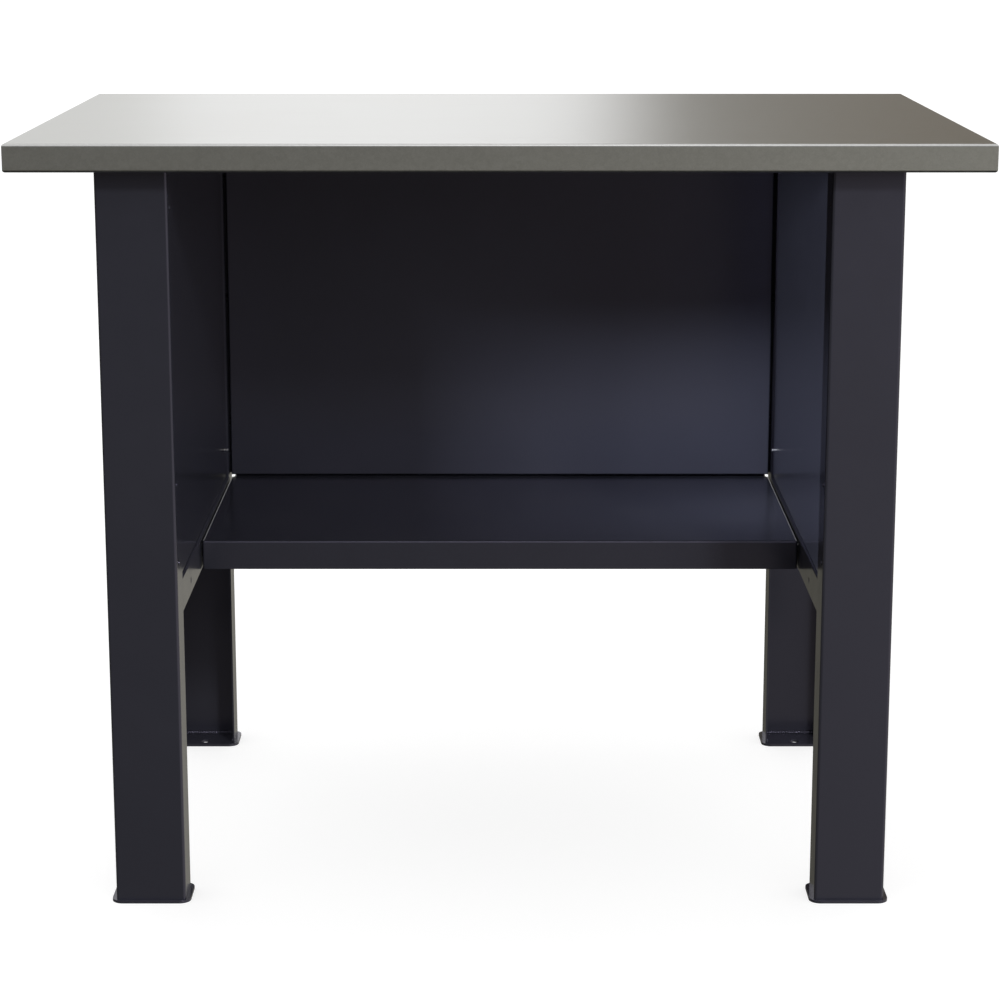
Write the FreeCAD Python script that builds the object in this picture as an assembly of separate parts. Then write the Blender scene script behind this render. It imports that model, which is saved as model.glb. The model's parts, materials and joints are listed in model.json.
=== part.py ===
import FreeCAD, Part

import math
import os

# A steel workbench. A plywood board wrapped in galvanised sheet lies on two side frames.
# Each frame has two folded legs on foot plates, a lower rail, an upper rail and a thin
# side panel. A back panel and a half-depth shelf tie the two frames together.
#
# Millimetres. +Z is up, +X is to the right of a person who stands in front of the bench,
# and +Y runs from front to back. The origin is on the floor under the worktop's middle.

Vector = FreeCAD.Vector

# Whole bench
WIDTH = 1000.0
DEPTH = 680.0
HEIGHT = 820.0
FRAME_WIDTH = 829.0
FRAME_DEPTH = 600.0

# Worktop: a board inside a folded tray of galvanised sheet
TOP_THICKNESS = 29.0
SKIN_SHEET = 1.0
SKIN_BEND = 3.0
SKIN_RETURN = 13.0
CORNER_SEAM = 0.6
BOARD_CLEARANCE = 0.5
BOARD_CHAMFER = 2.0

# Legs: C-sections that open towards each other, on plates that are bolted to the floor
LEG_WIDTH = 75.0
LEG_DEPTH = 45.0
LEG_SHEET = 2.0
LEG_BEND = 3.0
FOOT_WIDTH = 85.0
FOOT_DEPTH = 57.0
FOOT_LIP = 5.0
FOOT_THICKNESS = 3.0
FOOT_CORNER = 12.0
ANCHOR_RADIUS = 5.5
ANCHOR_FROM_EDGE = 13.0

# Rails between the legs
LOWER_RAIL_TOP = 351.0
LOWER_RAIL_HEIGHT = 40.0
LOWER_RAIL_WIDTH = 30.0
UPPER_RAIL_HEIGHT = 25.0
UPPER_RAIL_WIDTH = 40.0
RAIL_SHEET = 2.0
RAIL_BEND = 3.0
SPARE_HOLE_RADIUS = 3.5
SPARE_HOLE_Y = -177.0
SPARE_HOLE_HEIGHT = 327.5

# Side and back panels
PANEL_SHEET = 1.0
PANEL_BEND = 2.0
SIDE_PANEL_FLANGE = 12.0
SIDE_PANEL_END_GAP = 4.0
SIDE_PANEL_TOP_GAP = 1.0
BACK_PANEL_FACE = 278.0
BACK_PANEL_FLANGE = 15.0
BACK_PANEL_GAP = 1.5
BACK_PANEL_FOOT_GAP = 2.5

# Shelf
SHELF_TOP = 346.0
SHELF_FRONT = -69.0
SHELF_BACK = 298.0
SHELF_SHEET = 1.2
SHELF_BEND = 2.5
SHELF_FLANGE = 33.0
SHELF_LIP = 12.0
SHELF_GAP = 1.2
SHELF_UPSTAND = 10.0
SHELF_UPSTAND_FOOT = 8.0
NOTCH_WIDTH = 3.8
NOTCH_DEPTH = 20.0
RIB_WIDTH = 40.0
RIB_HEIGHT = 20.0
RIB_END_GAP = 8.0

# Fasteners
HOLE_CLEARANCE = 0.3
THREAD_CLEARANCE = 0.05
RIVET_RADIUS = 1.6
RIVET_HEAD_RADIUS = 2.8
RIVET_HEAD_HEIGHT = 0.9
RIVET_HEIGHTS = (374.0, 458.0, 750.0)
RIVET_FROM_LEG_FACE = 14.5
PANEL_BOLT_RADIUS = 2.5
PANEL_BOLT_HEIGHTS = (416.0, 571.0, 726.0)
PANEL_BOLT_Y = 286.5
SHELF_BOLT_RADIUS = 3.0
SHELF_BOLT_PLACES = (-30.0, 220.0)
SCREW_RADIUS = 2.0
SCREW_LENGTH = 18.0
RAIL_SCREW_PLACES = (-220.0, 0.0, 220.0)
BACK_SCREW_PLACES = (-250.0, 0.0, 250.0)
PIN_RADIUS = 2.0
PIN_REACH = 5.0
PIN_Y = 226.0
PIN_HEIGHT = 391.0

# Places that follow from the sizes above
UNDER_TOP = HEIGHT - TOP_THICKNESS + SKIN_SHEET
LEG_OUTER = FRAME_WIDTH / 2
LEG_INNER = LEG_OUTER - LEG_WIDTH
LEG_MIDDLE = (LEG_OUTER + LEG_INNER) / 2
FRAME_FRONT = -FRAME_DEPTH / 2
FRAME_BACK = FRAME_DEPTH / 2
PANEL_FACE = LEG_INNER + LEG_SHEET
PANEL_BACK = PANEL_FACE + PANEL_SHEET
LOWER_RAIL_MIDDLE = LOWER_RAIL_TOP - LOWER_RAIL_HEIGHT / 2
SHELF_SIDE = LEG_INNER - SHELF_GAP
BACK_PANEL_SIDE = LEG_INNER - BACK_PANEL_GAP
UPPER_RAIL_MIDDLE = PANEL_BACK + UPPER_RAIL_WIDTH / 2

ALONG_X = Vector(1, 0, 0)
ALONG_Z = Vector(0, 0, 1)
OVERSHOOT = 1.0


# ---- building blocks ----

def block(x, y, z):
    """A block that fills a (low, high) range on each axis."""
    size = (x[1] - x[0], y[1] - y[0], z[1] - z[0])
    return Part.makeBox(*size, Vector(x[0], y[0], z[0]))


def sides_beside(edge, x, y, z):
    """The two sides of a block, such as "+z" and "-y", that one of its edges joins."""
    middle = edge.CenterOfMass
    sides = set()
    for name, value, limits in (("x", middle.x, x), ("y", middle.y, y), ("z", middle.z, z)):
        for sign, limit in zip("-+", limits):
            if math.isclose(value, limit, abs_tol=1e-6):
                sides.add(sign + name)
    return frozenset(sides)


def bent_block(x, y, z, radius, bends):
    """A block that is rounded where each pair of sides in bends meets."""
    plain = block(x, y, z)
    edges = [edge for edge in plain.Edges if sides_beside(edge, x, y, z) in bends]
    return plain.makeFillet(radius, edges)


def folded_sheet(x, y, z, face, flanges, sheet, bend, round_corners=False):
    """Sheet metal on one face of a block, with flanges folded back on some other sides.

    The block's remaining sides are open.
    """
    bends = {frozenset((face, flange)) for flange in flanges}
    if round_corners:
        bends |= {frozenset((a, b)) for a in flanges for b in flanges if a[1] != b[1]}
    hollow = []
    for name, limits in (("x", x), ("y", y), ("z", z)):
        covered = {side for side in (face, *flanges) if side[1] == name}
        low = limits[0] + (sheet if "-" + name in covered else -OVERSHOOT)
        high = limits[1] - (sheet if "+" + name in covered else -OVERSHOOT)
        hollow.append((low, high))
    outside = bent_block(x, y, z, bend, bends)
    inside = bent_block(*hollow, bend - sheet, bends)
    return outside.cut(inside)


def drilled(shape, places, direction, radius, length):
    """The shape with a round hole that starts at each place and runs along direction."""
    for place in places:
        shape = shape.cut(Part.makeCylinder(radius, length, place, direction))
    return shape


def mirrored(shape):
    """The same piece for the bench's other side."""
    return shape.mirror(Vector(0, 0, 0), ALONG_X)


def hexagon(place, direction, across_flats, height):
    """A hexagonal prism that stands on place and grows along direction."""
    corner = across_flats / math.sqrt(3)
    angles = [math.radians(60 * step) for step in range(7)]
    outline = [Vector(corner * math.cos(a), corner * math.sin(a), 0) for a in angles]
    prism = Part.Face(Part.makePolygon(outline)).extrude(Vector(0, 0, height))
    prism.Placement = FreeCAD.Placement(place, FreeCAD.Rotation(ALONG_Z, direction))
    return prism


def shank_with_head(seat, direction, head, radius, length):
    """A fastener: its head lies behind the seat and its shank runs on along direction."""
    start = seat - direction * 0.5
    shank = Part.makeCylinder(radius, length + 0.5, start, direction)
    return head.fuse(shank).removeSplitter()


def round_head(seat, direction, radius, height, rounding):
    """A head with a rounded rim, from the seat back against direction."""
    head = Part.makeCylinder(radius, height, seat, direction * -1)
    far = seat - direction * height
    rim = [e for e in head.Edges if e.CenterOfMass.distanceToPoint(far) < 0.01]
    return head.makeFillet(rounding, rim)


def nut(place, direction, across_flats, height, bore):
    """A hexagon nut whose face lies on place."""
    body = hexagon(place, direction, across_flats, height)
    return body.cut(Part.makeCylinder(bore, height, place, direction))


def ring(place, direction, outer, inner, thickness):
    """A flat washer or spacer whose face lies on place."""
    disc = Part.makeCylinder(outer, thickness, place, direction)
    return disc.cut(Part.makeCylinder(inner, thickness, place, direction))


# ---- worktop ----

def worktop_screw_places():
    """Where a screw's head rests, under the upper rails and the back panel's top flange."""
    places = []
    for y in RAIL_SCREW_PLACES:
        for x in (-UPPER_RAIL_MIDDLE, UPPER_RAIL_MIDDLE):
            places.append(Vector(x, y, UNDER_TOP - RAIL_SHEET))
    for x in BACK_SCREW_PLACES:
        places.append(Vector(x, PANEL_BOLT_Y, UNDER_TOP - PANEL_SHEET))
    return places


def worktop_skin():
    """Galvanised tray: top sheet, four skirts and a narrow return under the board."""
    x = (-WIDTH / 2, WIDTH / 2)
    y = (-DEPTH / 2, DEPTH / 2)
    z = (HEIGHT - TOP_THICKNESS, HEIGHT)
    bends = {frozenset((a, b)) for a in ("-z", "+z") for b in ("-x", "+x", "-y", "+y")}
    outside = bent_block(x, y, z, SKIN_BEND, bends)
    hollow = [(low + SKIN_SHEET, high - SKIN_SHEET) for low, high in (x, y, z)]
    inside = bent_block(*hollow, SKIN_BEND - SKIN_SHEET, bends)
    opening = block(
        (x[0] + SKIN_RETURN, x[1] - SKIN_RETURN),
        (y[0] + SKIN_RETURN, y[1] - SKIN_RETURN),
        (z[0] - OVERSHOOT, z[0] + SKIN_SHEET + OVERSHOOT),
    )
    skin = outside.cut(inside).cut(opening)
    for x_edge in x:
        for y_edge in y:
            skin = skin.cut(corner_seam(x_edge, y_edge, z))
    return skin


def corner_seam(x_edge, y_edge, z):
    """The narrow open joint in an end skirt, right behind the long skirt."""
    inward_x = -math.copysign(1, x_edge)
    inward_y = -math.copysign(1, y_edge)
    outer = x_edge - inward_x * OVERSHOOT
    inner = x_edge + inward_x * SKIN_SHEET
    near = y_edge + inward_y * SKIN_SHEET
    far = near + inward_y * CORNER_SEAM
    height = (z[0] + SKIN_BEND, z[1] - SKIN_BEND)
    return block(sorted((outer, inner)), sorted((near, far)), height)


def worktop_board():
    """Plywood board that fills the tray, with blind holes for the screws from below."""
    margin = SKIN_SHEET + BOARD_CLEARANCE
    board = block(
        (-WIDTH / 2 + margin, WIDTH / 2 - margin),
        (-DEPTH / 2 + margin, DEPTH / 2 - margin),
        (UNDER_TOP, HEIGHT - SKIN_SHEET),
    )
    level = [e for e in board.Edges if abs(e.tangentAt(e.FirstParameter).z) < 0.5]
    board = board.makeChamfer(BOARD_CHAMFER, level)
    for seat in worktop_screw_places():
        start = Vector(seat.x, seat.y, UNDER_TOP)
        board = drilled(board, [start], ALONG_Z, SCREW_RADIUS + HOLE_CLEARANCE, SCREW_LENGTH)
    return board


def worktop_screws():
    """Pan-head screws that hold the board down."""
    screws = []
    for seat in worktop_screw_places():
        head = round_head(seat, ALONG_Z, 2.0 * SCREW_RADIUS, 2.5, 1.2)
        screws.append(shank_with_head(seat, ALONG_Z, head, SCREW_RADIUS, SCREW_LENGTH))
    return Part.makeCompound(screws)


# ---- side frames, made for +X and mirrored for -X ----

def leg(front):
    """One folded leg, drilled where its inner flange takes rivets and bolts."""
    x = (LEG_INNER, LEG_OUTER)
    z = (FOOT_THICKNESS, UNDER_TOP)
    if front:
        y = (FRAME_FRONT, FRAME_FRONT + LEG_DEPTH)
        face = "-y"
    else:
        y = (FRAME_BACK - LEG_DEPTH, FRAME_BACK)
        face = "+y"
    shape = folded_sheet(x, y, z, face, ("-x", "+x"), LEG_SHEET, LEG_BEND)
    start = LEG_INNER - OVERSHOOT
    through = LEG_SHEET + 2 * OVERSHOOT
    rivets = [Vector(start, rivet_y(front), height) for height in RIVET_HEIGHTS]
    shape = drilled(shape, rivets, ALONG_X, RIVET_RADIUS + THREAD_CLEARANCE, through)
    if not front:
        bolts = [Vector(start, PANEL_BOLT_Y, height) for height in PANEL_BOLT_HEIGHTS]
        radius = PANEL_BOLT_RADIUS + HOLE_CLEARANCE
        shape = drilled(shape, bolts, ALONG_X, radius, through)
    return shape


def rivet_y(front):
    """How far back the line of rivets lies in a front or a rear leg."""
    if front:
        return FRAME_FRONT + RIVET_FROM_LEG_FACE
    return FRAME_BACK - RIVET_FROM_LEG_FACE


def foot_plate(front):
    """Floor plate with round corners; its hole lies in the leg's open side."""
    sign = -1 if front else 1
    far = sign * (FRAME_DEPTH / 2 + FOOT_LIP)
    near = far - sign * FOOT_DEPTH
    x = (LEG_MIDDLE - FOOT_WIDTH / 2, LEG_MIDDLE + FOOT_WIDTH / 2)
    y = tuple(sorted((near, far)))
    corners = {frozenset((a, b)) for a in ("-x", "+x") for b in ("-y", "+y")}
    plate = bent_block(x, y, (0, FOOT_THICKNESS), FOOT_CORNER, corners)
    hole = Vector(LEG_MIDDLE, near + sign * ANCHOR_FROM_EDGE, -OVERSHOOT)
    return drilled(plate, [hole], ALONG_Z, ANCHOR_RADIUS, FOOT_THICKNESS + 2 * OVERSHOOT)


def lower_rail():
    """Channel between the legs, flush with their inner flanges, that carries the shelf."""
    x = (LEG_INNER, LEG_INNER + LOWER_RAIL_WIDTH)
    y = (FRAME_FRONT + LEG_DEPTH, FRAME_BACK - LEG_DEPTH)
    z = (LOWER_RAIL_TOP - LOWER_RAIL_HEIGHT, LOWER_RAIL_TOP)
    rail = folded_sheet(x, y, z, "-x", ("-z", "+z"), RAIL_SHEET, RAIL_BEND)
    start = LEG_INNER - OVERSHOOT
    through = RAIL_SHEET + 2 * OVERSHOOT
    spare = [Vector(start, SPARE_HOLE_Y, SPARE_HOLE_HEIGHT)]
    rail = drilled(rail, spare, ALONG_X, SPARE_HOLE_RADIUS, through)
    bolts = [Vector(start, place, LOWER_RAIL_MIDDLE) for place in SHELF_BOLT_PLACES]
    return drilled(rail, bolts, ALONG_X, SHELF_BOLT_RADIUS + HOLE_CLEARANCE, through)


def upper_rail():
    """Channel inside the legs and right under the board, open below."""
    x = (PANEL_BACK, PANEL_BACK + UPPER_RAIL_WIDTH)
    y = (FRAME_FRONT + LEG_SHEET, FRAME_BACK - LEG_SHEET)
    z = (UNDER_TOP - UPPER_RAIL_HEIGHT, UNDER_TOP)
    rail = folded_sheet(x, y, z, "+z", ("-x", "+x"), RAIL_SHEET, RAIL_BEND)
    start = UNDER_TOP - RAIL_SHEET - OVERSHOOT
    screws = [Vector(UPPER_RAIL_MIDDLE, place, start) for place in RAIL_SCREW_PLACES]
    radius = SCREW_RADIUS + HOLE_CLEARANCE
    return drilled(rail, screws, ALONG_Z, radius, RAIL_SHEET + 2 * OVERSHOOT)


def side_panel():
    """Thin tray behind the inner flanges; its flanges stop short of the upper rail."""
    x = (PANEL_FACE, PANEL_FACE + SIDE_PANEL_FLANGE)
    end = FRAME_BACK - LEG_SHEET - SIDE_PANEL_END_GAP
    z = (LOWER_RAIL_TOP, UNDER_TOP - SIDE_PANEL_TOP_GAP)
    panel = folded_sheet(x, (-end, end), z, "-x", ("-y", "+y", "-z"), PANEL_SHEET, PANEL_BEND)
    flange_top = UNDER_TOP - UPPER_RAIL_HEIGHT - 6.0
    panel = panel.cut(block((PANEL_BACK, x[1] + OVERSHOOT), (-end - OVERSHOOT, end + OVERSHOOT),
                            (flange_top, UNDER_TOP)))
    start = PANEL_FACE - OVERSHOOT
    through = PANEL_SHEET + 2 * OVERSHOOT
    rivets = [
        Vector(start, rivet_y(front), height)
        for front in (True, False) for height in RIVET_HEIGHTS
    ]
    panel = drilled(panel, rivets, ALONG_X, RIVET_RADIUS + THREAD_CLEARANCE, through)
    bolts = [Vector(start, PANEL_BOLT_Y, height) for height in PANEL_BOLT_HEIGHTS]
    panel = drilled(panel, bolts, ALONG_X, PANEL_BOLT_RADIUS + HOLE_CLEARANCE, through)
    pin = [Vector(start, PIN_Y, PIN_HEIGHT)]
    return drilled(panel, pin, ALONG_X, PIN_RADIUS + THREAD_CLEARANCE, through)


# ---- back panel and shelf ----

def back_panel():
    """Shallow tray between the rear legs, from just above the shelf to the board.

    A narrow lip on each side flange's rear edge closes the gap to the leg.
    """
    x = (-BACK_PANEL_SIDE, BACK_PANEL_SIDE)
    y = (BACK_PANEL_FACE, BACK_PANEL_FACE + BACK_PANEL_FLANGE)
    z = (SHELF_TOP + BACK_PANEL_FOOT_GAP, UNDER_TOP)
    panel = folded_sheet(x, y, z, "-y", ("-x", "+x", "-z", "+z"), PANEL_SHEET, PANEL_BEND)
    lip = block((x[1] - PANEL_SHEET, LEG_INNER), (y[1] - PANEL_SHEET, y[1]), z)
    panel = panel.fuse([lip, mirrored(lip)]).removeSplitter()
    through = PANEL_SHEET + 2 * OVERSHOOT
    radius = PANEL_BOLT_RADIUS + HOLE_CLEARANCE
    for side in (-BACK_PANEL_SIDE, BACK_PANEL_SIDE - PANEL_SHEET):
        bolts = [
            Vector(side - OVERSHOOT, PANEL_BOLT_Y, height) for height in PANEL_BOLT_HEIGHTS
        ]
        panel = drilled(panel, bolts, ALONG_X, radius, through)
    start = UNDER_TOP - PANEL_SHEET - OVERSHOOT
    screws = [Vector(place, PANEL_BOLT_Y, start) for place in BACK_SCREW_PLACES]
    return drilled(panel, screws, ALONG_Z, SCREW_RADIUS + HOLE_CLEARANCE, through)


def shelf():
    """Folded shelf over the rear half, with its rear corners cut back under the panel.

    Its front and sides fold down. Its rear edge turns up behind the back panel.
    """
    x = (-SHELF_SIDE, SHELF_SIDE)
    y = (SHELF_FRONT, SHELF_BACK - SHELF_UPSTAND_FOOT)
    z = (SHELF_TOP - SHELF_FLANGE, SHELF_TOP)
    tray = folded_sheet(x, y, z, "+z", ("-x", "+x", "-y"), SHELF_SHEET, SHELF_BEND, True)
    lip = block(
        (x[0] + SHELF_BEND, x[1] - SHELF_BEND),
        (y[0] + SHELF_SHEET / 2, y[0] + SHELF_LIP),
        (z[0], z[0] + SHELF_SHEET),
    )
    rear_y = (y[1] - OVERSHOOT, SHELF_BACK)
    rear_z = (SHELF_TOP - SHELF_SHEET, SHELF_TOP + SHELF_UPSTAND)
    upstand = folded_sheet(x, rear_y, rear_z, "-z", ("+y",), SHELF_SHEET, SHELF_BEND)
    tray = tray.fuse([lip, upstand]).removeSplitter()
    for side in (-1, 1):
        notch_x = sorted((side * (SHELF_SIDE - NOTCH_WIDTH), side * (SHELF_SIDE + OVERSHOOT)))
        notch_y = (SHELF_BACK - NOTCH_DEPTH, SHELF_BACK + OVERSHOOT)
        tray = tray.cut(block(notch_x, notch_y, (z[0] - OVERSHOOT, rear_z[1] + OVERSHOOT)))
    for place in SHELF_BOLT_PLACES:
        start = Vector(-SHELF_SIDE - OVERSHOOT, place, LOWER_RAIL_MIDDLE)
        length = 2 * (SHELF_SIDE + OVERSHOOT)
        tray = drilled(tray, [start], ALONG_X, SHELF_BOLT_RADIUS + HOLE_CLEARANCE, length)
    return tray


def shelf_rib():
    """Channel across the shelf's underside, open above."""
    middle = (SHELF_FRONT + SHELF_BACK) / 2
    end = SHELF_SIDE - SHELF_SHEET - RIB_END_GAP
    top = SHELF_TOP - SHELF_SHEET
    y = (middle - RIB_WIDTH / 2, middle + RIB_WIDTH / 2)
    return folded_sheet((-end, end), y, (top - RIB_HEIGHT, top), "-z", ("-y", "+y"),
                        SHELF_SHEET, SHELF_BEND)


# ---- fasteners, as groups of separate solids ----

def both_sides(pieces):
    """One group of the given pieces and of their mirror images."""
    return Part.makeCompound(pieces + [mirrored(piece) for piece in pieces])


def side_panel_rivets():
    """Blind rivets through each leg's inner flange and the side panel."""
    rivets = []
    for front in (True, False):
        for height in RIVET_HEIGHTS:
            seat = Vector(LEG_INNER, rivet_y(front), height)
            head = round_head(seat, ALONG_X, RIVET_HEAD_RADIUS, RIVET_HEAD_HEIGHT, 0.7)
            rivet = shank_with_head(seat, ALONG_X, head, RIVET_RADIUS, LEG_SHEET + PANEL_SHEET)
            bulb = Part.makeCylinder(2.5, 3.0, Vector(PANEL_BACK, seat.y, seat.z), ALONG_X)
            rivets.append(rivet.fuse(bulb).removeSplitter())
    return both_sides(rivets)


def panel_bolt_seats():
    """Where a back-panel bolt's head rests, inside the back panel's side flange."""
    x = BACK_PANEL_SIDE - PANEL_SHEET
    return [Vector(x, PANEL_BOLT_Y, height) for height in PANEL_BOLT_HEIGHTS]


def back_panel_bolts():
    """Button-head bolts with a hexagon socket."""
    bolts = []
    for seat in panel_bolt_seats():
        head = round_head(seat, ALONG_X, 4.75, 2.75, 1.8)
        bolt = shank_with_head(seat, ALONG_X, head, PANEL_BOLT_RADIUS, 12.0)
        socket = hexagon(seat - ALONG_X * 2.75, ALONG_X, 3.0, 1.6)
        bolts.append(bolt.cut(socket))
    return both_sides(bolts)


def back_panel_nuts():
    """Nuts inside the rear legs."""
    nuts = []
    for height in PANEL_BOLT_HEIGHTS:
        place = Vector(PANEL_BACK, PANEL_BOLT_Y, height)
        nuts.append(nut(place, ALONG_X, 8.0, 4.0, PANEL_BOLT_RADIUS + THREAD_CLEARANCE))
    return both_sides(nuts)


def back_panel_spacers():
    """Rings that keep the back panel clear of the rear legs."""
    rings = []
    for height in PANEL_BOLT_HEIGHTS:
        place = Vector(BACK_PANEL_SIDE, PANEL_BOLT_Y, height)
        inner = PANEL_BOLT_RADIUS + HOLE_CLEARANCE
        rings.append(ring(place, ALONG_X, 5.5, inner, BACK_PANEL_GAP))
    return both_sides(rings)


def shelf_bolts():
    """Hexagon bolts from under the shelf into the lower rails."""
    bolts = []
    for place in SHELF_BOLT_PLACES:
        seat = Vector(SHELF_SIDE - SHELF_SHEET, place, LOWER_RAIL_MIDDLE)
        head = hexagon(seat, ALONG_X * -1, 10.0, 4.0)
        bolts.append(shank_with_head(seat, ALONG_X, head, SHELF_BOLT_RADIUS, 12.0))
    return both_sides(bolts)


def shelf_nuts():
    """Nuts inside the lower rails."""
    nuts = []
    for place in SHELF_BOLT_PLACES:
        seat = Vector(LEG_INNER + RAIL_SHEET, place, LOWER_RAIL_MIDDLE)
        nuts.append(nut(seat, ALONG_X, 10.0, 5.0, SHELF_BOLT_RADIUS + THREAD_CLEARANCE))
    return both_sides(nuts)


def shelf_spacers():
    """Thin rings between the shelf's side flanges and the lower rails."""
    rings = []
    for place in SHELF_BOLT_PLACES:
        seat = Vector(SHELF_SIDE, place, LOWER_RAIL_MIDDLE)
        rings.append(ring(seat, ALONG_X, 6.0, SHELF_BOLT_RADIUS + HOLE_CLEARANCE, SHELF_GAP))
    return both_sides(rings)


def panel_pins():
    """Short pins through the side panels, just in front of the rear legs."""
    seat = Vector(PANEL_BACK, PIN_Y, PIN_HEIGHT)
    inward = ALONG_X * -1
    head = round_head(seat, inward, 2.0 * PIN_RADIUS, 1.2, 0.4)
    return both_sides([shank_with_head(seat, inward, head, PIN_RADIUS, PANEL_SHEET + PIN_REACH)])


# ---- all the nodes ----

def all_nodes():
    """Every sub-part by name."""
    nodes = {
        "worktop_skin": worktop_skin(),
        "worktop_board": worktop_board(),
        "worktop_screws": worktop_screws(),
        "back_panel": back_panel(),
        "shelf": shelf(),
        "shelf_rib": shelf_rib(),
        "side_panel_rivets": side_panel_rivets(),
        "back_panel_bolts": back_panel_bolts(),
        "back_panel_nuts": back_panel_nuts(),
        "back_panel_spacers": back_panel_spacers(),
        "shelf_bolts": shelf_bolts(),
        "shelf_nuts": shelf_nuts(),
        "shelf_spacers": shelf_spacers(),
        "panel_pins": panel_pins(),
    }
    paired = {
        "front_leg": leg(front=True),
        "rear_leg": leg(front=False),
        "front_foot_plate": foot_plate(front=True),
        "rear_foot_plate": foot_plate(front=False),
        "lower_rail": lower_rail(),
        "upper_rail": upper_rail(),
        "side_panel": side_panel(),
    }
    for name, shape in paired.items():
        nodes[name + "_right"] = shape
        nodes[name + "_left"] = mirrored(shape)
    return nodes


os.makedirs("parts", exist_ok=True)
for node, shape in all_nodes().items():
    if not shape.isValid():
        raise RuntimeError(node + " is not a valid shape")
    shape.exportStep("parts/" + node + ".step")
    print(node, len(shape.Solids), "solid(s)", round(shape.Volume / 1000, 1), "cm3")
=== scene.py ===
import json
import math
import random

import bmesh
import bpy
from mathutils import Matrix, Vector


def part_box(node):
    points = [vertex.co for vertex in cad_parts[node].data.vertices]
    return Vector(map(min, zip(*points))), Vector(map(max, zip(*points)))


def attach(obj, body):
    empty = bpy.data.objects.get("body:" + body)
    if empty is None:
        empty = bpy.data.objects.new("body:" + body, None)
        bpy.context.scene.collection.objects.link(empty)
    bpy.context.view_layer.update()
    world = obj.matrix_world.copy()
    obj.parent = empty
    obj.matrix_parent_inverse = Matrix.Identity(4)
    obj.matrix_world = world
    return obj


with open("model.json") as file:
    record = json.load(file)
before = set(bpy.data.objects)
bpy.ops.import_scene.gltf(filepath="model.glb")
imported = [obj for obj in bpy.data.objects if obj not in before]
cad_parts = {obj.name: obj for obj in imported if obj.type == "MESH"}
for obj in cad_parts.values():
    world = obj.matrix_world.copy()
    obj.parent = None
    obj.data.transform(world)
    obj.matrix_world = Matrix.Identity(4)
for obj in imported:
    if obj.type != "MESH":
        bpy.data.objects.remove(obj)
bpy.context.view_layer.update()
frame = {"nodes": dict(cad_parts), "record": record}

# The workbench's looks: materials for the CAD pieces, weld beads, and a plain studio.
# Metres, in the CAD frame. +Z is up, +X runs right and +Y runs back, seen from the bench's front.

RANDOM_SEED = 17
UP = Vector((0, 0, 1))

# Camera, level across and tipped down a little
CAMERA_PLACE = (0.0, -3.093, 1.0723)
CAMERA_TIP = math.radians(12.65)
CAMERA_LENS_MM = 98.53
SENSOR_MM = 36.0

# Dark blue-grey paint
PAINT_DEEP = (0.0174, 0.018, 0.0242, 1)
PAINT_PALE = (0.021, 0.0216, 0.0286, 1)
PAINT_FLECK = (0.04, 0.044, 0.055, 1)
# Lighter tone for sharp edges: worn paint, and also a painted highlight
PAINT_WEAR_AND_EDGE_HIGHLIGHT = (0.07, 0.073, 0.08, 1)
PAINT_GLOSS_TINT = (1.08, 1.0, 1.4, 1)
DUST = (0.16, 0.155, 0.145, 1)
GAP_SHADE = (0.003, 0.003, 0.004, 1)
GAP_REACH = 0.004

# Galvanised sheet
SPANGLE_DULL = (0.44, 0.442, 0.435, 1)
SPANGLE_BRIGHT = (0.54, 0.54, 0.53, 1)
ZINC_CLOUD = (0.47, 0.465, 0.45, 1)
ZINC_WORN = (0.7, 0.7, 0.69, 1)
SPANGLE_RAGGEDNESS = 0.002
SCUFF_SLANT = math.radians(28)

# Plywood face
WOOD_DARK_RING = (0.5, 0.345, 0.19, 1)
WOOD_PALE_RING = (0.62, 0.46, 0.28, 1)
WOOD_PORE = (0.36, 0.23, 0.12, 1)
WOOD_WANDER = 0.09

# Plated fasteners: dull, bright and worn tones
CLEAR_ZINC = ((0.6, 0.6, 0.6, 1), (0.72, 0.73, 0.76, 1), (0.85, 0.85, 0.86, 1))
# Black plate for the back panel's spacers, dark as painted shade in their gaps
BLACK_ZINC_GAP_SHADE = ((0.008, 0.008, 0.009, 1), (0.014, 0.014, 0.016, 1), (0.03, 0.03, 0.03, 1))

# Radius that the light sees on sharp edges
SHEET_EDGE = 0.0005
FASTENER_EDGE = 0.0003

# Weld beads between the legs and their foot plates
LEG_SHEET = 0.002
WELD_LEG = 0.003
WELD_DEPTH = 0.0003
WELD_END_GAP = 0.003
WELD_STEP = 0.0004
WELD_RIPPLE = 0.0024
WELD_RIPPLE_SHARE = 0.2
WELD_UNEVENNESS = 0.03
WELD_END_SHARE = 0.4
WELD_END_GROWTH = 0.1
BEAD_ARC_POINTS = 7
BEAD_ARC_START = -6
BEAD_ARC_STEP = 17

# Floor, and the wall at its far edge
WHITE = (1, 1, 1, 1)
FLOOR_RADIUS = 40.0
FLOOR_TONES = ((0.38, 0.38, 0.38, 1), (0.37, 0.37, 0.37, 1))
FLOOR_GLOW = 0.76
BACKDROP_RADIUS = FLOOR_RADIUS * 0.99
BACKDROP_HEIGHT = 40.0
CIRCLE_POINTS = 128

# Glowing card behind the bench, with its (place across, colour) stops from left to right
CARD_DISTANCE = 5.0
CARD_FOOT = 0.6
CARD_SIZE = (14.0, 7.0)
CARD_TONES = (
    (0.42, (0.95, 0.95, 0.93, 1)),
    (0.438, (1.36, 1.36, 1.36, 1)),
    (0.512, (1.36, 1.36, 1.36, 1)),
    (0.541, (0.2, 0.182, 0.15, 1)),
    (0.6, (0.17, 0.14, 0.1, 1)),
)

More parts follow.
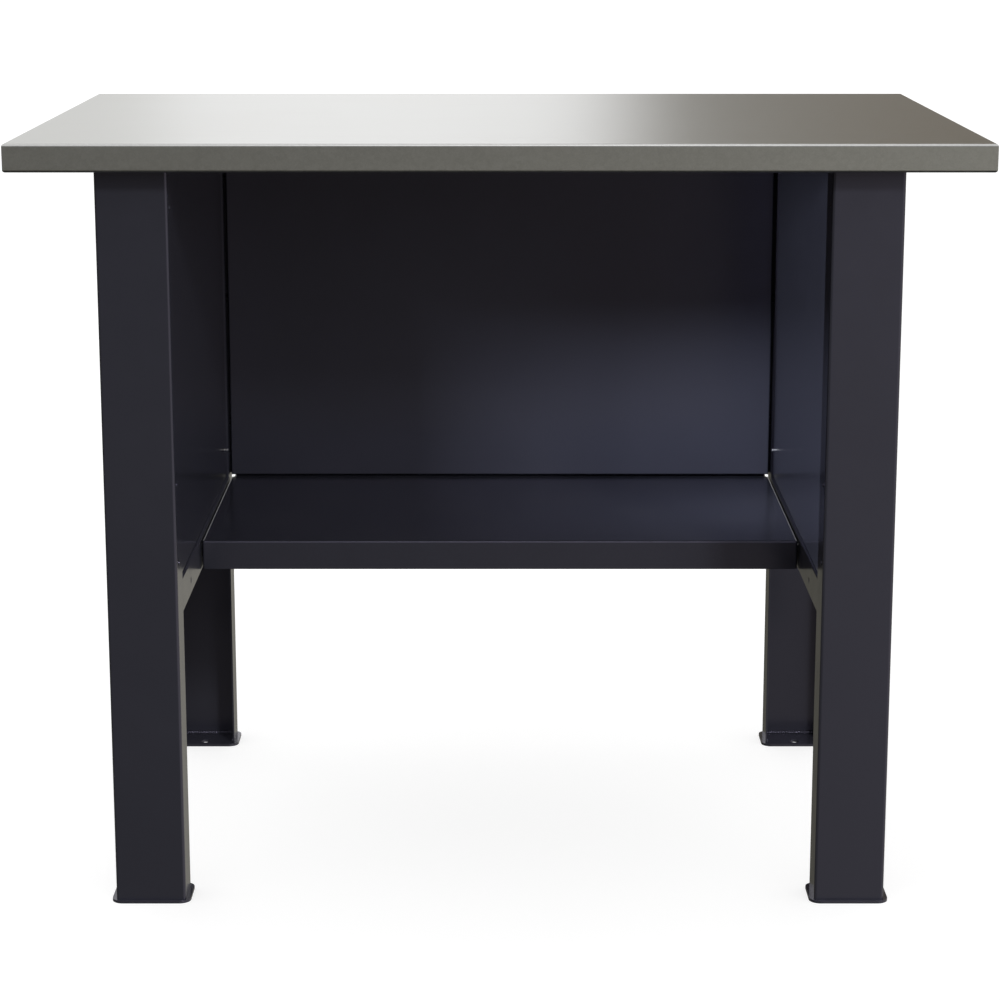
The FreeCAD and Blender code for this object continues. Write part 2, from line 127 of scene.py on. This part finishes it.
# Light from all round
SKY_OVERHEAD = (1.12, 1.12, 1.12, 1)
SKY_LEVEL = (0.24, 0.24, 0.24, 1)
BELOW_LEFT = (0.14, 0.135, 0.112, 1)
BELOW_RIGHT = (0.72, 0.695, 0.61, 1)
STRAIGHT_DOWN = (0.03, 0.03, 0.03, 1)

# Lamps: the tint of those that reach into the bay, and what the front ones face
COOL_LIGHT = (0.95, 1.0, 1.13)
BENCH_MIDDLE = (0, 0, 0.4)

# Sockets of a colour Mix node, which share their names with its other sockets
MIX_FIRST = 6
MIX_SECOND = 7
MIX_RESULT = 2


# ---- shader building ----

class Shading:
    """A node tree in the making, with short calls for its nodes."""

    def __init__(self, tree, coordinates):
        self.nodes = tree.nodes
        self.links = tree.links
        self.place = self.nodes.new("ShaderNodeTexCoord").outputs[coordinates]

    def feed(self, socket, value):
        """Give a socket a number or colour, or link another node's output to it."""
        if isinstance(value, bpy.types.NodeSocket):
            self.links.new(value, socket)
        else:
            socket.default_value = value

    def add(self, kind, inputs, **properties):
        """A new node with its inputs fed."""
        node = self.nodes.new("ShaderNode" + kind)
        for name, value in properties.items():
            setattr(node, name, value)
        for name, value in inputs.items():
            self.feed(node.inputs[name], value)
        return node

    def along(self, axis, vector=None):
        """One axis of the coordinates, or of another vector."""
        return self.add("SeparateXYZ", {"Vector": vector or self.place}).outputs[axis]

    def stretched(self, scale, rotation=(0, 0, 0), push=None):
        """The coordinates, pushed about, scaled on each axis and turned."""
        place = self.place
        if push is not None:
            place = self.add("VectorMath", {0: place, 1: push}, operation="ADD").outputs[0]
        inputs = {"Vector": place, "Scale": scale, "Rotation": rotation}
        return self.add("Mapping", inputs).outputs[0]

    def noise(self, scale, detail=2.0, roughness=0.5, place=None):
        """Soft noise from 0 to 1, with this many features to the metre."""
        inputs = {
            "Vector": place or self.place,
            "Scale": scale,
            "Detail": detail,
            "Roughness": roughness,
        }
        return self.add("TexNoise", inputs).outputs[0]

    def scatter(self, scale, amount):
        """A small random push for coordinates."""
        node = self.add("TexNoise", {"Vector": self.place, "Scale": scale})
        inputs = {0: node.outputs["Color"], "Scale": amount}
        return self.add("VectorMath", inputs, operation="SCALE").outputs[0]

    def cells(self, scale, place=None):
        """One random value from 0 to 1 for each crystal-like cell."""
        node = self.add("TexVoronoi", {"Vector": place or self.place, "Scale": scale})
        return self.add("SeparateColor", {"Color": node.outputs["Color"]}).outputs[0]

    def between(self, value, start, end, low=0.0, high=1.0):
        """A value that runs softly from low at start to high at end."""
        inputs = {"Value": value, "From Min": start, "From Max": end, "To Min": low, "To Max": high}
        return self.add("MapRange", inputs, interpolation_type="SMOOTHSTEP").outputs[0]

    def math(self, operation, first, second):
        """One step of arithmetic on two values."""
        return self.add("Math", {0: first, 1: second}, operation=operation).outputs[0]

    def blend(self, share, first, second):
        """A colour between two colours."""
        node = self.add("Mix", {"Factor": share}, data_type="RGBA")
        self.feed(node.inputs[MIX_FIRST], first)
        self.feed(node.inputs[MIX_SECOND], second)
        return node.outputs[MIX_RESULT]

    def stops(self, value, colours):
        """A colour that runs through (place, colour) stops as the value goes from 0 to 1."""
        node = self.add("ValToRGB", {"Fac": value})
        ramp = node.color_ramp
        ramp.interpolation = "EASE"
        while len(ramp.elements) < len(colours):
            ramp.elements.new(0.5)
        for element, (place, colour) in zip(ramp.elements, colours):
            element.position = place
            element.color = colour
        return node.outputs[0]


class Surface(Shading):
    """A Principled material in the making."""

    def __init__(self, name, **settings):
        self.material = bpy.data.materials.new(name)
        self.material.use_nodes = True
        super().__init__(self.material.node_tree, "Object")
        self.shader = self.nodes["Principled BSDF"]
        for setting, value in settings.items():
            self.shader.inputs[setting.replace("_", " ")].default_value = value

    def bump(self, height, depth, under=None):
        """A surface normal that follows a height, with the depth in metres."""
        inputs = {"Height": height, "Distance": depth}
        if under is not None:
            inputs["Normal"] = under
        return self.add("Bump", inputs).outputs[0]

    def soft_edges(self, radius):
        """A normal that rounds sharp edges, and a mask that is 1 on them."""
        soft = self.add("Bevel", {"Radius": radius}, samples=4).outputs[0]
        flat = self.nodes.new("ShaderNodeNewGeometry").outputs["Normal"]
        turn = self.add("VectorMath", {0: soft, 1: flat}, operation="DOT_PRODUCT")
        return soft, self.between(turn.outputs["Value"], 0.8, 0.995, low=1.0, high=0.0)

    def openness(self, reach):
        """1 out in the open, towards 0 in holes and gaps."""
        node = self.add("AmbientOcclusion", {"Distance": reach}, samples=4, only_local=True)
        return node.outputs["AO"]

    def upward(self):
        """1 on faces that look up, 0 on upright and downward ones."""
        normal = self.nodes.new("ShaderNodeNewGeometry").outputs["Normal"]
        return self.between(self.along("Z", normal), 0.6, 0.95)

    def finish(self, **sockets):
        """Link the shader's own sockets and hand over the material."""
        for socket, value in sockets.items():
            self.feed(self.shader.inputs[socket.replace("_", " ")], value)
        return self.material


# ---- materials, one for each slot of the record ----

def painted_steel():
    """Dark blue-grey powder coat: satin gloss, fine orange peel, a trace of dust, and edges lighter
    from wear and a painted highlight.
    """
    paint = Surface("painted_steel", Specular_Tint=PAINT_GLOSS_TINT)
    soft, edge = paint.soft_edges(SHEET_EDGE)
    tone = paint.blend(paint.noise(7.0, detail=3.0), PAINT_DEEP, PAINT_PALE)
    fleck = paint.between(paint.noise(1500.0, detail=1.0), 0.5, 0.75, high=0.2)
    tone = paint.blend(fleck, tone, PAINT_FLECK)
    # Sharp edges turn lighter: partly wear, partly a painted highlight for light caught on them
    worn = paint.between(paint.noise(60.0, detail=4.0), 0.4, 0.7, low=0.15, high=0.6)
    tone = paint.blend(paint.math("MULTIPLY", edge, worn), tone, PAINT_WEAR_AND_EDGE_HIGHLIGHT)
    patchy = paint.between(paint.noise(11.0, detail=5.0, roughness=0.6), 0.4, 0.8, high=0.03)
    dust = paint.math("MULTIPLY", paint.upward(), patchy)
    tone = paint.blend(dust, tone, DUST)
    tone = paint.blend(paint.between(paint.openness(GAP_REACH), 0.35, 0.8), GAP_SHADE, tone)
    satin = paint.noise(26.0, detail=4.0, roughness=0.6)
    roughness = paint.between(satin, 0.2, 0.8, low=0.18, high=0.24)
    roughness = paint.math("ADD", roughness, dust)
    normal = paint.bump(paint.noise(2.3, detail=0.0), depth=0.0003, under=soft)
    normal = paint.bump(paint.noise(520.0, detail=1.0), depth=0.000006, under=normal)
    return paint.finish(Base_Color=tone, Roughness=roughness, Normal=normal)


def galvanised_steel():
    """Satin zinc coat with fine spangles, faint rolling lines and a few scuffs."""
    zinc = Surface("galvanised_steel", Metallic=1.0)
    soft, edge = zinc.soft_edges(SHEET_EDGE)
    ragged = zinc.scatter(400.0, SPANGLE_RAGGEDNESS)
    coarse = zinc.cells(260.0, zinc.stretched((1, 1, 1), push=ragged))
    fine = zinc.cells(900.0, zinc.stretched((1, 1, 1), push=ragged))
    grain = zinc.noise(1300.0, detail=3.0, roughness=0.7)
    crystal = zinc.math("ADD", zinc.math("MULTIPLY", coarse, 0.3), zinc.math("MULTIPLY", fine, 0.4))
    crystal = zinc.math("ADD", crystal, zinc.math("MULTIPLY", grain, 0.3))
    tone = zinc.blend(crystal, SPANGLE_DULL, SPANGLE_BRIGHT)
    cloud = zinc.between(zinc.noise(5.0, detail=4.0), 0.4, 0.75, high=0.3)
    tone = zinc.blend(cloud, tone, ZINC_CLOUD)
    tone = zinc.blend(zinc.math("MULTIPLY", edge, 0.5), tone, ZINC_WORN)
    rolled = zinc.stretched((6.0, 420.0, 420.0))
    lines = zinc.noise(1.0, detail=3.0, roughness=0.6, place=rolled)
    slant = zinc.stretched((9.0, 260.0, 60.0), rotation=(0, 0, SCUFF_SLANT))
    scuff = zinc.between(zinc.noise(1.0, place=slant), 0.62, 0.8, high=0.05)
    roughness = zinc.between(crystal, 0.0, 1.0, low=0.27, high=0.34)
    roughness = zinc.math("ADD", roughness, zinc.math("MULTIPLY", lines, 0.03))
    roughness = zinc.math("ADD", roughness, scuff)
    normal = zinc.bump(lines, depth=0.000003, under=soft)
    normal = zinc.bump(crystal, depth=0.000004, under=normal)
    return zinc.finish(Base_Color=tone, Roughness=roughness, Normal=normal)


def plywood():
    """Birch plywood face: long grain, soft bands of growth rings and open pores."""
    wood = Surface("plywood")
    wander = wood.scatter(2.2, WOOD_WANDER)
    trunk = wood.stretched((1.1, 14.0, 14.0), push=wander)
    rings = wood.noise(1.0, detail=3.0, roughness=0.55, place=trunk)
    bands = wood.math("PINGPONG", wood.math("MULTIPLY", rings, 9.0), 1.0)
    fibres = wood.stretched((14.0, 700.0, 700.0), push=wander)
    grain = wood.noise(1.0, detail=4.0, roughness=0.65, place=fibres)
    tone = wood.blend(bands, WOOD_DARK_RING, WOOD_PALE_RING)
    tone = wood.blend(wood.between(grain, 0.45, 0.8, high=0.55), tone, WOOD_PORE)
    roughness = wood.between(grain, 0.0, 1.0, low=0.5, high=0.72)
    normal = wood.bump(grain, depth=0.0001)
    return wood.finish(Base_Color=tone, Roughness=roughness, Normal=normal)


def plated_steel(name, dull, bright, worn):
    """Zinc plate that goes from dull to bright in small tarnish clouds, with worn edges."""
    plate = Surface(name, Metallic=1.0)
    soft, edge = plate.soft_edges(FASTENER_EDGE)
    tone = plate.blend(plate.noise(330.0, detail=4.0), dull, bright)
    tone = plate.blend(plate.math("MULTIPLY", edge, 0.5), tone, worn)
    roughness = plate.between(plate.noise(500.0, detail=3.0), 0.2, 0.8, low=0.2, high=0.38)
    normal = plate.bump(plate.noise(1800.0), depth=0.00001, under=soft)
    return plate.finish(Base_Color=tone, Roughness=roughness, Normal=normal)


def finish_cad_pieces():
    """Give each CAD node its slot's material, and return the materials by slot.

    The spacers in the gaps beside the back panel have a black zinc plate, kept dark as painted
    shade in those gaps.
    """
    materials = {
        "painted_steel": painted_steel(),
        "galvanised_steel": galvanised_steel(),
        "plywood": plywood(),
        "zinc_plated_steel": plated_steel("zinc_plated_steel", *CLEAR_ZINC),
    }
    for part in frame["record"]["subparts"]:
        piece = frame["nodes"][part["node"]]
        for slot in piece.material_slots:
            slot.material = materials[part["material_slot"]]
    # The spacers are black as painted shade, so the gaps beside the back panel stay dark
    gap_shade_zinc = plated_steel("black_zinc_plate", *BLACK_ZINC_GAP_SHADE)
    for slot in frame["nodes"]["back_panel_spacers"].material_slots:
        slot.material = gap_shade_zinc
    return materials


# ---- weld beads ----

def bead_ring(mesh, corner, out, size):
    """One closed cross-section of a bead, sunk a little into the metal behind it."""
    ring = [mesh.verts.new(corner - (out + UP) * WELD_DEPTH)]
    for step in range(BEAD_ARC_POINTS):
        turn = math.radians(BEAD_ARC_START + BEAD_ARC_STEP * step)
        ring.append(mesh.verts.new(corner + (out * math.cos(turn) + UP * math.sin(turn)) * size))
    return ring


def add_bead(mesh, start, end, out, draw):
    """A rippled fillet along the foot of an upright sheet, with thin ends."""
    along = end - start
    count = round(along.length / WELD_STEP)
    rings = []
    for step in range(count + 1):
        wave = abs(math.sin(math.pi * step * WELD_STEP / WELD_RIPPLE))
        taper = min(1.0, WELD_END_SHARE + WELD_END_GROWTH * min(step, count - step))
        ripple = 1.0 - WELD_RIPPLE_SHARE + WELD_RIPPLE_SHARE * wave
        ripple += draw.uniform(-WELD_UNEVENNESS, WELD_UNEVENNESS)
        size = WELD_LEG * taper * ripple
        rings.append(bead_ring(mesh, start + along * (step / count), out, size))
    for near, far in zip(rings, rings[1:]):
        for first in range(len(near)):
            second = (first + 1) % len(near)
            mesh.faces.new((near[first], near[second], far[second], far[first]))
    mesh.faces.new(rings[0])
    mesh.faces.new(rings[-1])


def leg_welds(leg, paint, draw):
    """Three beads inside a leg: along its wide face and along both flanges."""
    low, high = (Vector(corner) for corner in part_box(leg))
    inner = (low.x + LEG_SHEET, high.x - LEG_SHEET)
    if leg.startswith("front"):
        wall, lip, inward = low.y + LEG_SHEET, high.y, Vector((0, 1, 0))
    else:
        wall, lip, inward = high.y - LEG_SHEET, low.y, Vector((0, -1, 0))
    mesh = bmesh.new()
    start = Vector((inner[0] + WELD_END_GAP, wall, low.z))
    end = Vector((inner[1] - WELD_END_GAP, wall, low.z))
    add_bead(mesh, start, end, inward, draw)
    for x, out in zip(inner, (Vector((1, 0, 0)), Vector((-1, 0, 0)))):
        start = Vector((x, wall, low.z)) + inward * WELD_END_GAP
        end = Vector((x, lip, low.z)) - inward * WELD_END_GAP
        add_bead(mesh, start, end, out, draw)
    bmesh.ops.recalc_face_normals(mesh, faces=mesh.faces)
    for face in mesh.faces:
        face.smooth = True
    data = bpy.data.meshes.new("welds_" + leg)
    mesh.to_mesh(data)
    mesh.free()
    data.materials.append(paint)
    welds = bpy.data.objects.new("welds_" + leg, data)
    bpy.context.scene.collection.objects.link(welds)
    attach(welds, "root")


# ---- floor and backdrop ----

def only_for_the_camera(piece):
    """The piece is in no reflection and gives or blocks no light, so the dark paint stays dark."""
    piece.visible_diffuse = False
    piece.visible_glossy = False
    piece.visible_shadow = False


def floor():
    """A wide pale disc with a glow of its own."""
    bpy.ops.mesh.primitive_circle_add(vertices=CIRCLE_POINTS, radius=FLOOR_RADIUS, fill_type="NGON")
    disc = bpy.context.object
    disc.name = "floor"
    paper = Surface("floor_paper", Roughness=0.9, Emission_Color=WHITE,
                    Emission_Strength=FLOOR_GLOW)
    tone = paper.blend(paper.noise(2.0, detail=3.0), *FLOOR_TONES)
    disc.data.materials.append(paper.finish(Base_Color=tone))
    only_for_the_camera(disc)
    return disc


def backdrop():
    """A white wall at the floor's far edge."""
    bpy.ops.mesh.primitive_cylinder_add(vertices=CIRCLE_POINTS, radius=BACKDROP_RADIUS,
                                        depth=BACKDROP_HEIGHT, end_fill_type="NOTHING")
    wall = bpy.context.object
    wall.name = "backdrop"
    paper = Surface("backdrop_paper", Roughness=1.0, Emission_Color=WHITE, Emission_Strength=1.0)
    wall.data.materials.append(paper.finish())
    only_for_the_camera(wall)
    return wall


def back_card():
    """A glowing card behind the bench that only reflections see: bright, then brown."""
    bpy.ops.mesh.primitive_plane_add(size=1.0)
    card = bpy.context.object
    card.name = "back_card"
    card.scale = (CARD_SIZE[0], CARD_SIZE[1], 1.0)
    card.rotation_euler = (math.pi / 2, 0, 0)
    card.location = (0, CARD_DISTANCE, CARD_FOOT + CARD_SIZE[1] / 2)
    material = bpy.data.materials.new("back_card")
    material.use_nodes = True
    material.node_tree.nodes.clear()
    shading = Shading(material.node_tree, "Object")
    across = shading.math("ADD", shading.along("X"), 0.5)
    glow = shading.add("Emission", {"Color": shading.stops(across, CARD_TONES)})
    shading.add("OutputMaterial", {"Surface": glow.outputs[0]})
    card.data.materials.append(material)
    card.visible_camera = False
    card.visible_diffuse = False
    card.visible_shadow = False


# ---- light ----

def sky():
    """Soft light from all round: bright overhead, dim at eye level and below the floor."""
    world = bpy.data.worlds.new("studio")
    bpy.context.scene.world = world
    world.use_nodes = True
    shading = Shading(world.node_tree, "Generated")
    rightward = shading.between(shading.along("X"), -0.1, 0.47)
    below = shading.blend(rightward, BELOW_LEFT, BELOW_RIGHT)
    outward = shading.between(shading.along("Z"), -0.75, -0.3)
    below = shading.blend(outward, STRAIGHT_DOWN, below)
    overhead = shading.between(shading.along("Z"), 0.15, 0.7)
    above = shading.blend(overhead, SKY_LEVEL, SKY_OVERHEAD)
    over_horizon = shading.between(shading.along("Z"), -0.05, 0.05)
    whole = shading.blend(over_horizon, below, above)
    shading.feed(shading.nodes["Background"].inputs["Color"], whole)


def soft_box(name, place, target, size, power, height=None):
    """A soft light that faces its target, square unless its height is given too."""
    light = bpy.data.lights.new(name, "AREA")
    light.size = size
    light.energy = power
    if height is not None:
        light.shape = "RECTANGLE"
        light.size_y = height
    lamp = bpy.data.objects.new(name, light)
    lamp.location = place
    aim = Vector(target) - Vector(place)
    lamp.rotation_euler = aim.to_track_quat("-Z", "Y").to_euler()
    bpy.context.scene.collection.objects.link(lamp)
    return lamp


def group_of(name, pieces):
    """These pieces in a new collection."""
    group = bpy.data.collections.new(name)
    for piece in pieces:
        group.objects.link(piece)
    return group


def all_but(name, pieces):
    """A light-linking group that stands for everything but these pieces."""
    group = group_of(name, pieces)
    for entry in group.collection_objects:
        entry.light_linking.link_state = "EXCLUDE"
    return group


def keep_off(lamps, pieces):
    """The lamps light everything but these pieces."""
    group = all_but("not_lit_by_lamps", pieces)
    for lamp in lamps:
        lamp.light_linking.receiver_collection = group


def keep_on(lamp, nodes):
    """The lamp lights these CAD nodes only."""
    group = group_of("lit_by_" + lamp.name, [frame["nodes"][node] for node in nodes])
    lamp.light_linking.receiver_collection = group


def shine_through(lamps):
    """No CAD node casts a shadow from these lamps."""
    group = all_but("no_shadow_from_lamps", frame["nodes"].values())
    for lamp in lamps:
        lamp.light_linking.blocker_collection = group


def front_lamps(paper):
    """A key and a weaker box from the front right. They leave the worktop to the card and sky."""
    key = soft_box("key", (1.95, -4.1, 2.95), BENCH_MIDDLE, size=0.5, power=110.0)
    right = soft_box("right_fill", (1.9, -3.3, 1.7), BENCH_MIDDLE, size=1.0, power=38.0)
    left_out = [frame["nodes"]["worktop_skin"], frame["nodes"]["panel_pins"]]
    keep_off([key, right], paper + left_out)


def bay_lamps():
    """Cool fills for the bay: two boxes from the front left, and a small one over the shelf."""
    place = (-2.2, -3.3, 2.25)
    back = soft_box("bay_fill", place, (0.1, 0.278, 0.4), size=1.2, power=335.0, height=0.6)
    keep_on(back, ["back_panel"])
    side = soft_box("side_fill", (-2.2, -3.3, 1.1), (0.34, 0, 0.5), size=1.0, power=360.0)
    keep_on(side, ["side_panel_right", "panel_pins"])
    shelf = soft_box("shelf_fill", (0.29, 0.08, 0.55), (0.29, 0.1, 0.346), size=0.08, power=0.62)
    shelf.visible_glossy = False
    keep_on(shelf, ["shelf", "back_panel"])
    for lamp in (back, side, shelf):
        lamp.data.color = COOL_LIGHT


def glint_lamps(paper):
    """Lamps for glints only: one from the front, and two on the shelf's side edges."""
    glint = soft_box("glint", (0, -2.2, 3.4), (0, -0.25, 0.4), size=0.8, power=6.0)
    glint.visible_diffuse = False
    keep_off([glint], paper)
    rims = []
    for side in (-1, 1):
        place = (0.73 * side, 1.53, 0.36)
        target = (0.33 * side, 0.1, 0.346)
        rim = soft_box("shelf_rim", place, target, size=0.3, power=0.15)
        rim.visible_diffuse = False
        keep_on(rim, ["shelf"])
        rims.append(rim)
    shine_through(rims)


# ---- camera ----

def camera():
    """The camera, in front of the bench and a little above its top."""
    lens = bpy.data.cameras.new("camera")
    lens.lens = CAMERA_LENS_MM
    lens.sensor_width = SENSOR_MM
    body = bpy.data.objects.new("camera", lens)
    body.location = CAMERA_PLACE
    body.rotation_euler = (math.pi / 2 - CAMERA_TIP, 0, 0)
    bpy.context.scene.collection.objects.link(body)
    bpy.context.scene.camera = body


slot_materials = finish_cad_pieces()
random_draw = random.Random(RANDOM_SEED)
for leg_node in ("front_leg_left", "front_leg_right", "rear_leg_left", "rear_leg_right"):
    leg_welds(leg_node, slot_materials["painted_steel"], random_draw)
sky()
back_card()
stage_paper = [floor(), backdrop()]
front_lamps(stage_paper)
bay_lamps()
glint_lamps(stage_paper)
camera()
bpy.context.scene.view_settings.view_transform = "Standard"
